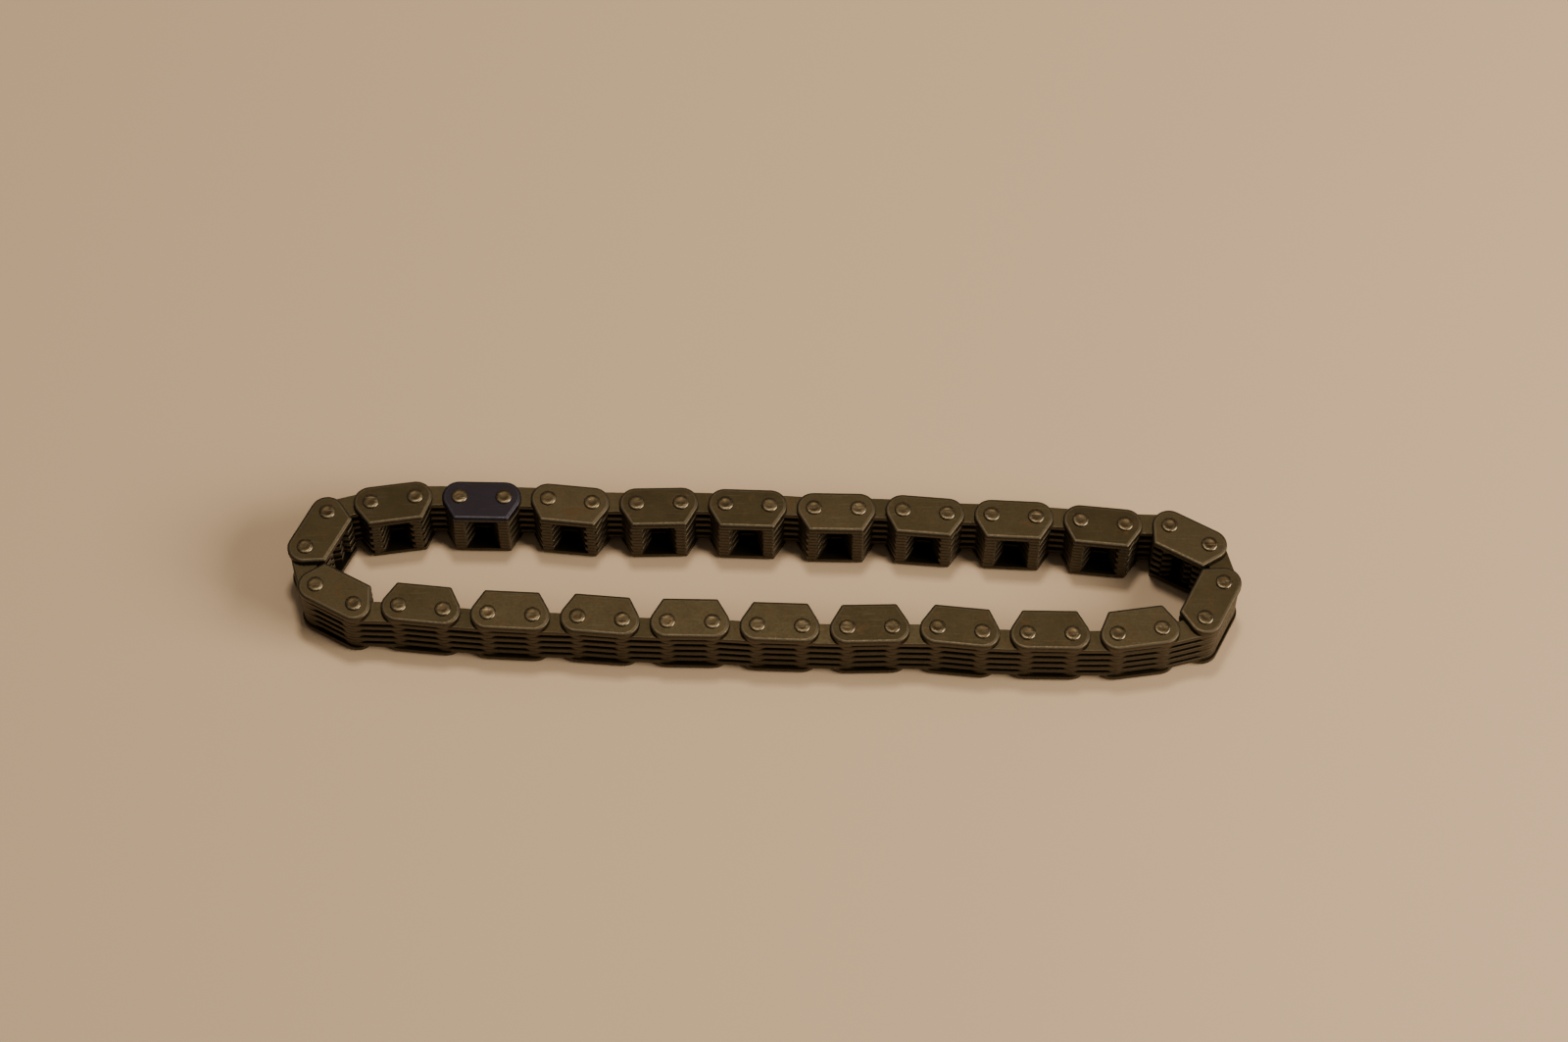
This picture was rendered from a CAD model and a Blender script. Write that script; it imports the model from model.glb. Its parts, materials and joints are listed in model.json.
"""Looks of an endless inverted-tooth chain that lies flat in a long loop.

Every plate and pin is a mesh built here: stamped plates with a rolled edge on the outer face and a small
burr break on the inner one, and pins with peened heads. All in metres, in the part's own frame.
"""

import json
import math
import random

import bmesh
import bpy
from mathutils import Matrix, Vector, noise


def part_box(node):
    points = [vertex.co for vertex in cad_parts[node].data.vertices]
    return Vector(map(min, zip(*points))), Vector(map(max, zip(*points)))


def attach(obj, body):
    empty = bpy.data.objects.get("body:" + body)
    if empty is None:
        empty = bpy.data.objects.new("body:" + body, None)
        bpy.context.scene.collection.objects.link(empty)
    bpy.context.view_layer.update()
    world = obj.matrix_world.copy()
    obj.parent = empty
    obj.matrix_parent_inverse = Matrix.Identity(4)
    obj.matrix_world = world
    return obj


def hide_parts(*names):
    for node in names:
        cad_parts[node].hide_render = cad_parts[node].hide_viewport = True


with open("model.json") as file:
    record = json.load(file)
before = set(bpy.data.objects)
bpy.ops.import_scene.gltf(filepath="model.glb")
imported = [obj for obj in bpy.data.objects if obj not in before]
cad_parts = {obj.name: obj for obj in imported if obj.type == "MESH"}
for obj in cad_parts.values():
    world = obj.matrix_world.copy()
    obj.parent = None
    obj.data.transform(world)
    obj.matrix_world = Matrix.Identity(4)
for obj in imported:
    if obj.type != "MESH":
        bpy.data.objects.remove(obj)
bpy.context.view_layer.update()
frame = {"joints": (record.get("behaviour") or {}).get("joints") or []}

MM = 0.001
SEED = 7

# ---------------------------------------------------------------- places, read from the frame

LINKS = 44
TIMING_LINK = 4
CLOSING_LINK = 10
OPEN_PIN = 11


def pin_places():
    """Each pin's axis in the plane, from the joints and, for the open pivot, from its own pin."""
    low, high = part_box("closing_pin_2")
    places = {OPEN_PIN: Vector((low + high)[:2]) / 2}
    for joint in frame["joints"]:
        places[int(joint["name"].split("_")[-1])] = Vector(joint["pos_m"][:2])
    return places


def heights(node):
    low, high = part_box(node)
    return low[2], high[2]


PINS = pin_places()
PITCH = (PINS[3] - PINS[2]).length
PIN_Z = heights("timing_pin_1")
LOWER_GUIDE_Z = heights("timing_lower_guide_plate")
UPPER_GUIDE_Z = heights("timing_upper_guide_plate")
INNER_Z = [heights(f"timing_toothed_plate_{i}") for i in range(1, 5)]
LAYER_STEP = (INNER_Z[1][0] - INNER_Z[0][0]) / 2
JOINT_Z = [tuple(z + i * LAYER_STEP for z in INNER_Z[0]) for i in range(-1, 8, 2)]


def is_guide(link):
    return link % 2 == 0


def pin_at(number):
    return PINS[(number - 1) % LINKS + 1]


def link_place(link):
    """Where a plate drawn about its own middle goes, with its toes towards +Y."""
    start, end = pin_at(link), pin_at(link + 1)
    middle = (start + end) / 2
    turn = math.atan2(end.y - start.y, end.x - start.x) + math.pi
    return Matrix.Translation((middle.x, middle.y, 0)) @ Matrix.Rotation(turn, 4, "Z")


def link_name(link):
    if link == TIMING_LINK:
        return "timing"
    if link == CLOSING_LINK:
        return "closing"
    return f"guide_link_{link // 2:02d}" if is_guide(link) else f"joint_link_{(link + 1) // 2:02d}"


# ---------------------------------------------------------------- plate outlines

# As shares of the pitch
END_R = 0.384 * PITCH
TOE_Y = 0.579 * PITCH
GUIDE_BACK = 0.398 * PITCH
TOOTH_BACK = 0.359 * PITCH
TOE_ROUND = 0.06 * PITCH
TOE_INNER_ROUND = 0.03 * PITCH
CROTCH_ROUND = 0.08 * PITCH
CROTCH_TOP_Y = 0.15 * PITCH
CROTCH_HALF = 0.38 * PITCH
PIN_X = PITCH / 2

FLANK = math.radians(30)
CROTCH_FLANK = math.radians(25)
END_STEPS = 16
CORNER_STEPS = 5
LINE_STEPS = 4
SMALLEST_ROUND = 0.03 * MM


def unit(angle):
    return Vector((math.cos(angle), math.sin(angle)))


FLANK_NORMAL = unit(FLANK)
INNER_NORMAL = unit(math.pi - CROTCH_FLANK)
UP = Vector((0, 1))


def arc(middle, radius, start, end, steps):
    return [middle + radius * unit(start + (end - start) * i / steps) for i in range(steps + 1)]


def circle(middle, radius, steps):
    return [middle + radius * unit(2 * math.pi * i / steps) for i in range(steps)]


def meet(normal_a, reach_a, normal_b, reach_b):
    """The point where two lines meet, each given by its normal and its distance from the middle."""
    det = normal_a.x * normal_b.y - normal_a.y * normal_b.x
    x = (reach_a * normal_b.y - reach_b * normal_a.y) / det
    y = (normal_a.x * reach_b - normal_b.x * reach_a) / det
    return Vector((x, y))


def rounded(at, normal_a, normal_b, radius, convex):
    """An arc that rounds the corner at `at`, from the line with normal_a to the one with normal_b."""
    radius = max(radius, SMALLEST_ROUND)
    side = -1 if convex else 1
    bisector = (normal_a + normal_b).normalized()
    middle = at + side * bisector * radius / bisector.dot(normal_a)
    start, end = (math.atan2(-side * n.y, -side * n.x) for n in (normal_a, normal_b))
    turn = (end - start + 3 * math.pi) % (2 * math.pi) - math.pi
    return arc(middle, radius, start, start + turn, CORNER_STEPS)


def half_outline(back, toothed, inset):
    """The arcs of a plate's right half, moved inwards by inset, from the back edge to the middle."""
    toe_y = TOE_Y - inset
    flank_reach = FLANK_NORMAL.x * PIN_X + END_R - inset
    rise = END_R - back
    end_middle = Vector((PIN_X - rise * math.tan(FLANK), rise))
    arcs = [arc(end_middle, END_R - inset, -math.pi / 2, FLANK, END_STEPS)]
    tip = meet(FLANK_NORMAL, flank_reach, UP, toe_y)
    arcs.append(rounded(tip, FLANK_NORMAL, UP, TOE_ROUND - inset, True))
    if toothed:
        inner_reach = INNER_NORMAL.dot(Vector((CROTCH_HALF, TOE_Y))) - inset
        inner = meet(UP, toe_y, INNER_NORMAL, inner_reach)
        crotch = meet(INNER_NORMAL, inner_reach, UP, CROTCH_TOP_Y - inset)
        arcs.append(rounded(inner, UP, INNER_NORMAL, TOE_INNER_ROUND - inset, True))
        arcs.append(rounded(crotch, INNER_NORMAL, UP, CROTCH_ROUND + inset, False))
    return arcs


def outline(back, toothed, inset):
    """All points of a plate's outline, with a few along each straight stretch."""
    half = half_outline(back, toothed, inset)
    arcs = half + [[Vector((-p.x, p.y)) for p in reversed(points)] for points in reversed(half)]
    joined = []
    for points, following in zip(arcs, arcs[1:] + arcs[:1]):
        joined += points
        joined += [points[-1].lerp(following[0], i / LINE_STEPS) for i in range(1, LINE_STEPS)]
    return joined


# ---------------------------------------------------------------- plates

ROLL_STEPS = 6
BREAK_STEPS = 2
BURR = 0.05 * MM
GUIDE_ROLL = (0.6 * MM, 0.32 * MM)
TOOTH_ROLL = (0.2 * MM, 0.15 * MM)
HOLE_R = 1.34 * MM
HOLE_STEPS = 24
EDGE_WAVE = 0.012 * MM
EDGE_WAVE_SCALE = 900
PLATE_SEEDS = 50


def quarter(width, depth, steps):
    """(inset, depth) pairs of a quarter ellipse, from the face to the wall."""
    angles = [math.pi / 2 * i / steps for i in range(steps + 1)]
    return [(width * (1 - math.sin(a)), depth * (1 - math.cos(a))) for a in angles]


def edge_profile(z_range, roll, roll_on_top):
    """(inset, height, rim) from the lower face to the upper one; rim is 1 where the edge turns."""
    low, high = z_range
    top, bottom = quarter(*roll, ROLL_STEPS), quarter(BURR, BURR, BREAK_STEPS)
    if not roll_on_top:
        top, bottom = bottom, top
    below = [(inset, low + depth) for inset, depth in bottom]
    above = [(inset, high - depth) for inset, depth in reversed(top)]
    halfway = 0.5
    rims = [math.sin(math.pi * (i + halfway) / len(part)) for part in (below, above) for i in range(len(part))]
    return [(inset, z, rim) for (inset, z), rim in zip(below + above, rims)]


class Shape:
    """A mesh under way, with what its material needs: a tone for each face, rim and wall for each point."""

    def __init__(self):
        self.bm = bmesh.new()
        self.tone = self.bm.faces.layers.float.new("tone")
        self.rim = self.bm.verts.layers.float.new("rim")
        self.wall = self.bm.verts.layers.float.new("wall")

    def ring(self, points, rim, wall):
        verts = [self.bm.verts.new(p) for p in points]
        for v in verts:
            v[self.rim] = rim
            v[self.wall] = wall
        return verts

    def skin(self, rings, tone):
        for lower, upper in zip(rings, rings[1:]):
            for i in range(len(lower)):
                j = (i + 1) % len(lower)
                self.face([lower[i], lower[j], upper[j], upper[i]], tone)

    def face(self, verts, tone):
        face = self.bm.faces.new(verts)
        face.smooth = True
        face[self.tone] = tone

    def cap(self, loops, tone):
        """A flat face inside the first loop, with the other loops as its holes."""
        edges = [self.bm.edges.get((v, loop[i - 1])) for loop in loops for i, v in enumerate(loop)]
        filled = bmesh.ops.triangle_fill(self.bm, use_beauty=True, use_dissolve=False, edges=edges)
        for face in filled["geom"]:
            if isinstance(face, bmesh.types.BMFace):
                face[self.tone] = tone


def random_seed(rng, spread):
    return Vector((rng.random(), rng.random(), rng.random())) * spread


def waved(points, z, seed, amount):
    """The points at height z, each moved a hair, so that a long edge doesn't gleam evenly."""
    moved = []
    for p in points:
        shift = noise.noise_vector(Vector((p.x, p.y, z)) * EDGE_WAVE_SCALE + seed) * amount
        moved.append(Vector((p.x + shift.x, p.y + shift.y, z)))
    return moved


def add_plate(shape, kind, z_range, roll_on_top, place, rng):
    """A stamped plate with two pin holes."""
    back, toothed, roll = kind
    low, high = z_range
    tone = rng.random()
    seed = random_seed(rng, PLATE_SEEDS)
    rings = []
    for inset, z, rim in edge_profile(z_range, roll, roll_on_top):
        points = waved(outline(back, toothed, inset), z, seed, EDGE_WAVE * rim)
        wall = 0.0 if z in (low, high) else (z - low) / (high - low)
        rings.append(shape.ring([place @ p for p in points], rim, wall))
    shape.skin(rings, tone)
    lower_loops, upper_loops = [rings[0]], [rings[-1]]
    for side in (-1, 1):
        middle = Vector((side * PIN_X, 0))
        hole = []
        for widen, z in ((BURR, low), (0, low + BURR), (0, high - BURR), (BURR, high)):
            points = circle(middle, HOLE_R + widen, HOLE_STEPS)
            hole.append(shape.ring([place @ Vector((p.x, p.y, z)) for p in points], 0.0, 0.0))
        shape.skin([ring[::-1] for ring in hole], tone)
        lower_loops.append(hole[0])
        upper_loops.append(hole[-1])
    shape.cap(lower_loops, tone)
    shape.cap(upper_loops, tone)


GUIDE = (GUIDE_BACK, False, GUIDE_ROLL)
TOOTHED = (TOOTH_BACK, True, TOOTH_ROLL)

# ---------------------------------------------------------------- pins

SHANK_R = 1.3 * MM
HEAD_R = 1.5 * MM
HEAD_STEPS = 48
HEAD_H = PIN_Z[1] - UPPER_GUIDE_Z[1]
# Share of the head's radius and of its height, from the rim to the middle
HEAD_PROFILE = [
    (0.975, 0.0), (0.99, 0.14), (0.985, 0.34), (0.965, 0.5), (0.93, 0.66), (0.88, 0.79), (0.82, 0.88),
    (0.74, 0.95), (0.64, 0.99), (0.52, 0.985), (0.4, 0.96), (0.28, 0.94), (0.16, 0.93), (0.06, 0.93),
]
DENT = 0.022 * MM
OUT_OF_ROUND = 0.03
HEAD_SEEDS = 90
LOBE_SCALE = 1.4
DENT_SCALE = 1.7
SMALL_DENT_SCALE = 4.1
MOST_LEAN = 0.12
# Depths of the dish in the middle of a head, as shares of its height, and the dish's share of the radius
DISHES = (0.0, 0.0, 0.04, 0.07)
DISH_SHARE = 0.55
# The worn rim of a head, as shares of its radius
RIM_START = 0.6
RIM_WIDTH = 0.3


def head_rings(rng):
    """Rings of (x, y, height) of one peened head, flat on the plate and dented by the riveting tool."""
    seed = random_seed(rng, HEAD_SEEDS)
    lean = unit(rng.uniform(0, 2 * math.pi)) * rng.uniform(0.0, MOST_LEAN)
    dish = rng.choice(DISHES)
    rings = []
    for share, rise in HEAD_PROFILE:
        ring = []
        for d in circle(Vector((0, 0)), 1, HEAD_STEPS):
            flat = Vector((d.x, d.y, 0)) * share
            out = 1 - OUT_OF_ROUND * abs(noise.noise(flat.normalized() * LOBE_SCALE + seed))
            small = abs(noise.noise(flat * SMALL_DENT_SCALE - seed)) / 2
            dent = DENT * rise * (abs(noise.noise(flat * DENT_SCALE + seed)) + small)
            tilt = HEAD_H * rise * (lean.length - lean.dot(d) * share) / 2
            dip = HEAD_H * dish * max(0.0, 1 - (share / DISH_SHARE) ** 2)
            reach = HEAD_R * share * out
            ring.append((d.x * reach, d.y * reach, HEAD_H * rise - dent - tilt - dip))
        rings.append(ring)
    return rings


def add_pin(shape, number, rng):
    """A pin with a peened head at each end."""
    spot = pin_at(number)
    tone = rng.random()
    rims = [min(1.0, max(0.0, (share - RIM_START) / RIM_WIDTH)) for share, _ in HEAD_PROFILE]
    lower = [
        shape.ring([Vector((spot.x + x, spot.y + y, LOWER_GUIDE_Z[0] - z)) for x, y, z in ring], rim, 0.0)
        for ring, rim in zip(head_rings(rng), rims)
    ]
    upper = [
        shape.ring([Vector((spot.x + x, spot.y + y, UPPER_GUIDE_Z[1] + z)) for x, y, z in ring], rim, 0.0)
        for ring, rim in zip(head_rings(rng), rims)
    ]
    shank = []
    for z in (LOWER_GUIDE_Z[0], UPPER_GUIDE_Z[1]):
        points = circle(spot, SHANK_R, HEAD_STEPS)
        shank.append(shape.ring([Vector((p.x, p.y, z)) for p in points], 0.0, 0.0))
    shape.skin(lower[::-1] + shank + upper, tone)
    shape.face(lower[-1][::-1], tone)
    shape.face(upper[-1], tone)


# ---------------------------------------------------------------- materials


# Places of the two colours among the Mix node's inputs, and of the mixed colour among its outputs
MIX_A, MIX_B, MIX_RESULT = 6, 7, 2


class Paint:
    """A node material, built up from its Principled shader."""

    def __init__(self, name, **settings):
        self.material = bpy.data.materials.new(name)
        self.material.use_nodes = True
        self.tree = self.material.node_tree
        self.shader = self.tree.nodes["Principled BSDF"]
        for socket, value in settings.items():
            self.shader.inputs[socket.replace("_", " ")].default_value = value
        self.place = self.node("TexCoord").outputs["Object"]

    def node(self, kind, inputs=None, **settings):
        made = self.tree.nodes.new("ShaderNode" + kind)
        for setting, value in settings.items():
            setattr(made, setting, value)
        for socket, value in (inputs or {}).items():
            self.feed(made.inputs[socket], value)
        return made

    def feed(self, socket, value):
        if isinstance(value, bpy.types.NodeSocket):
            self.tree.links.new(value, socket)
        else:
            socket.default_value = value

    def attribute(self, name):
        return self.node("Attribute", attribute_name=name).outputs["Fac"]

    def noise(self, scale, detail=4.0, roughness=0.55, stretch=None, distortion=0.0):
        place = self.place
        if stretch:
            place = self.node("Mapping", {"Vector": place, "Scale": stretch}).outputs["Vector"]
        inputs = {"Vector": place, "Scale": scale, "Detail": detail, "Roughness": roughness}
        inputs["Distortion"] = distortion
        return self.node("TexNoise", inputs).outputs["Fac"]

    def maths(self, operation, a, b=0.0, clamp=False):
        return self.node("Math", {0: a, 1: b}, operation=operation, use_clamp=clamp).outputs[0]

    def spread(self, value, low, high, to_low=0.0, to_high=1.0):
        """value from low..high to to_low..to_high, held at the ends."""
        inputs = {"Value": value, "From Min": low, "From Max": high, "To Min": to_low, "To Max": to_high}
        return self.node("MapRange", inputs, clamp=True).outputs[0]

    def blend(self, share, a, b, way="MIX"):
        """Colour a, mixed with b by share."""
        made = self.node("Mix", data_type="RGBA", blend_type=way, clamp_factor=True)
        self.feed(made.inputs[0], share)
        for slot, colour in ((MIX_A, a), (MIX_B, b)):
            self.feed(made.inputs[slot], colour if isinstance(colour, bpy.types.NodeSocket) else (*colour, 1.0))
        return made.outputs[MIX_RESULT]

    def bump(self, height, distance, strength, normal=None):
        inputs = {"Height": height, "Distance": distance, "Strength": strength}
        if normal:
            inputs["Normal"] = normal
        return self.node("Bump", inputs).outputs["Normal"]

    def finish(self, colour, roughness, normal):
        self.feed(self.shader.inputs["Base Color"], colour)
        self.feed(self.shader.inputs["Roughness"], roughness)
        self.feed(self.shader.inputs["Normal"], normal)
        return self.material


def steel(name, dark, light, rust, bright, rough, rim_rough, **settings):
    """Tumbled, oiled steel: blotches, a fine grain, scratches, streaked sheared walls and worn rims.

    dark to light is the range of the plain colour, rust the stains, bright the worn and sheared places,
    rough the roughness and rim_rough what a worn rim adds to it.
    """
    paint = Paint(name, **settings)
    tone, rim, wall = (paint.attribute(n) for n in ("tone", "rim", "wall"))
    cloud = paint.noise(260, 5.0, 0.6)
    fine = paint.noise(2600, 6.0, 0.65)
    grain = paint.noise(9000, 3.0, 0.6)
    stain = paint.noise(420, 6.0, 0.65, distortion=0.6)
    sheared = paint.noise(5200, 3.0, 0.6, stretch=(1, 1, 0.06))
    scratch = paint.noise(3800, 2.0, 0.5, stretch=(0.05, 1, 1))
    scratches = paint.spread(scratch, 0.62, 0.7)

    shade = paint.maths("ADD", paint.maths("MULTIPLY", tone, 0.6), paint.maths("MULTIPLY", cloud, 0.6))
    colour = paint.blend(paint.spread(shade, 0.2, 1.0), dark, light)
    colour = paint.blend(paint.spread(stain, 0.54, 0.72, 0.0, 0.75), colour, rust)
    colour = paint.blend(paint.spread(fine, 0.35, 0.7, 0.0, 0.35), colour, dark)
    colour = paint.blend(paint.maths("MULTIPLY", scratches, 0.25), colour, bright)
    worn = paint.maths("MULTIPLY", paint.spread(rim, 0.35, 1.0), paint.spread(fine, 0.3, 0.65, 0.1, 0.5))
    colour = paint.blend(worn, colour, bright)

    on_wall = paint.spread(wall, 0.0, 0.12)
    torn = paint.spread(sheared, 0.35, 0.65, 0.3, 1.0)
    colour = paint.blend(paint.maths("MULTIPLY", on_wall, torn), colour, bright)
    roughness = paint.spread(fine, 0.25, 0.75, rough - 0.08, rough + 0.12)
    streaks = paint.maths("MULTIPLY", on_wall, paint.spread(sheared, 0.3, 0.7, -0.05, 0.12))
    roughness = paint.maths("ADD", roughness, streaks)
    roughness = paint.maths("ADD", roughness, paint.maths("MULTIPLY", worn, rim_rough))

    normal = paint.bump(fine, 0.012 * MM, 0.6)
    normal = paint.bump(grain, 0.004 * MM, 0.55, normal)
    normal = paint.bump(paint.maths("MULTIPLY", sheared, on_wall), 0.012 * MM, 0.7, normal)
    normal = paint.bump(scratches, 0.003 * MM, -0.5, normal)
    return paint.finish(colour, roughness, normal)


PLATE_STEEL = steel(
    "oiled_plate_steel", dark=(0.026, 0.0195, 0.0095), light=(0.053, 0.04, 0.021), rust=(0.056, 0.031, 0.014),
    bright=(0.08, 0.063, 0.04), rough=0.42, rim_rough=0.24, Metallic=1.0,
)
PIN_STEEL = steel(
    "peened_pin_steel", dark=(0.03, 0.0215, 0.011), light=(0.066, 0.048, 0.026), rust=(0.055, 0.033, 0.015),
    bright=(0.36, 0.29, 0.19), rough=0.36, rim_rough=-0.1, Metallic=1.0,
)
TIMING_BLUE = steel(
    "blued_timing_plate", dark=(0.0105, 0.008, 0.0105), light=(0.022, 0.0175, 0.021), rust=(0.018, 0.013, 0.013),
    bright=(0.032, 0.029, 0.036), rough=0.36, rim_rough=0.24,
    Metallic=0.95, Coat_Weight=0.03, Coat_Roughness=0.3,
)

# ---------------------------------------------------------------- pieces


def make_piece(name, shape, material, slot, body, *nodes):
    bmesh.ops.recalc_face_normals(shape.bm, faces=shape.bm.faces)
    mesh = bpy.data.meshes.new(name)
    shape.bm.to_mesh(mesh)
    shape.bm.free()
    mesh.materials.append(material)
    piece = bpy.data.objects.new(name, mesh)
    bpy.context.scene.collection.objects.link(piece)
    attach(piece, body)
    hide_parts(*nodes)
    return piece


def plates_piece(name, kind, levels, place, body, nodes, rng, material=PLATE_STEEL, slot="plate_steel"):
    """One piece of one or more plates; levels is a list of (z range, whether the rolled edge is on top)."""
    shape = Shape()
    for z_range, roll_on_top in levels:
        add_plate(shape, kind, z_range, roll_on_top, place, rng)
    make_piece(name, shape, material, slot, body, *nodes)


def pins_piece(name, link, body, nodes, rng):
    shape = Shape()
    add_pin(shape, link, rng)
    add_pin(shape, link + 1, rng)
    make_piece(name, shape, PIN_STEEL, "pin_steel", body, *nodes)


def joint_link(link, rng):
    name = link_name(link)
    plates_piece(f"{name}_toothed", TOOTHED, [(z, True) for z in JOINT_Z], link_place(link), name, [name], rng)


def guide_link(link, rng):
    name = link_name(link)
    place = link_place(link)
    inner = [(z, True) for z in INNER_Z]
    split = link in (TIMING_LINK, CLOSING_LINK)
    body = f"{name}_link" if split else name
    ends = [f"{name}_lower_guide_plate", f"{name}_upper_guide_plate"] if split else [name, name]
    toothed = [f"{name}_toothed_plate_{i}" for i in range(1, 5)] if split else [name]
    pins = [f"{name}_pin_1", f"{name}_pin_2"] if split else [name]
    blue = {"material": TIMING_BLUE, "slot": "timing_blue"} if link == TIMING_LINK else {}
    plates_piece(f"{name}_lower_guide", GUIDE, [(LOWER_GUIDE_Z, False)], place, body, ends[:1], rng)
    plates_piece(f"{name}_upper_guide", GUIDE, [(UPPER_GUIDE_Z, True)], place, body, ends[1:], rng, **blue)
    plates_piece(f"{name}_toothed", TOOTHED, inner, place, body, toothed, rng)
    pins_piece(f"{name}_pins", link, body, pins, rng)


def build_chain():
    rng = random.Random(SEED)
    for link in range(1, LINKS + 1):
        (guide_link if is_guide(link) else joint_link)(link, rng)


# ---------------------------------------------------------------- stage, lights and camera


FLOOR_SIZE = 6.0
FLOOR_COLOUR = (0.47, 0.342, 0.22, 1.0)
WARM = (1.0, 0.9, 0.76)
ROOM_COLOUR = (0.9, 0.78, 0.62, 1.0)
ROOM_STRENGTH = 0.16
# Azimuth and elevation in degrees, distance and size in metres, power in watts
LIGHTS = {
    "window": (74, 33, 0.9, 0.5, 13.0),
    "ceiling_lamp": (178, 79, 1.2, 0.14, 8.0),
    "ceiling_bounce": (185, 75, 1.2, 1.1, 2.0),
}


def build_floor():
    bpy.ops.mesh.primitive_plane_add(size=FLOOR_SIZE)
    floor = bpy.context.object
    floor.name = "floor"
    paint = Paint("pale_floor", Roughness=0.75, Specular_IOR_Level=0.25)
    paint.feed(paint.shader.inputs["Base Color"], FLOOR_COLOUR)
    floor.data.materials.append(paint.material)


def add_light(name, azimuth, elevation, distance, size, power):
    """A square area light that faces the origin; azimuth is counted from the camera's side towards +X."""
    a, e = math.radians(azimuth), math.radians(elevation)
    way = Vector((math.sin(a) * math.cos(e), -math.cos(a) * math.cos(e), math.sin(e)))
    light = bpy.data.lights.new(name, "AREA")
    light.shape = "SQUARE"
    light.size = size
    light.energy = power
    light.color = WARM
    lamp = bpy.data.objects.new(name, light)
    lamp.location = way * distance
    lamp.rotation_euler = way.to_track_quat("Z", "Y").to_euler()
    bpy.context.scene.collection.objects.link(lamp)


def build_lights():
    for name, settings in LIGHTS.items():
        add_light(name, *settings)
    world = bpy.data.worlds.new("room")
    bpy.context.scene.world = world
    world.use_nodes = True
    background = world.node_tree.nodes["Background"]
    background.inputs["Color"].default_value = ROOM_COLOUR
    background.inputs["Strength"].default_value = ROOM_STRENGTH


AIM = Vector((3.68, 15.79, 0.0)) * MM
CAMERA_ELEVATION = math.radians(61)
CAMERA_DISTANCE = 806.9 * MM
LENS_MM = 101.25
SENSOR_MM = 36.0


def build_camera():
    camera = bpy.data.cameras.new("camera")
    camera.lens = LENS_MM
    camera.sensor_width = SENSOR_MM
    camera.sensor_fit = "HORIZONTAL"
    camera.clip_start = 0.01
    mount = bpy.data.objects.new("camera", camera)
    way = Vector((0, -math.cos(CAMERA_ELEVATION), math.sin(CAMERA_ELEVATION)))
    mount.location = AIM + way * CAMERA_DISTANCE
    mount.rotation_euler = way.to_track_quat("Z", "Y").to_euler()
    bpy.context.scene.collection.objects.link(mount)
    bpy.context.scene.camera = mount


build_camera()
build_chain()
build_floor()
build_lights()
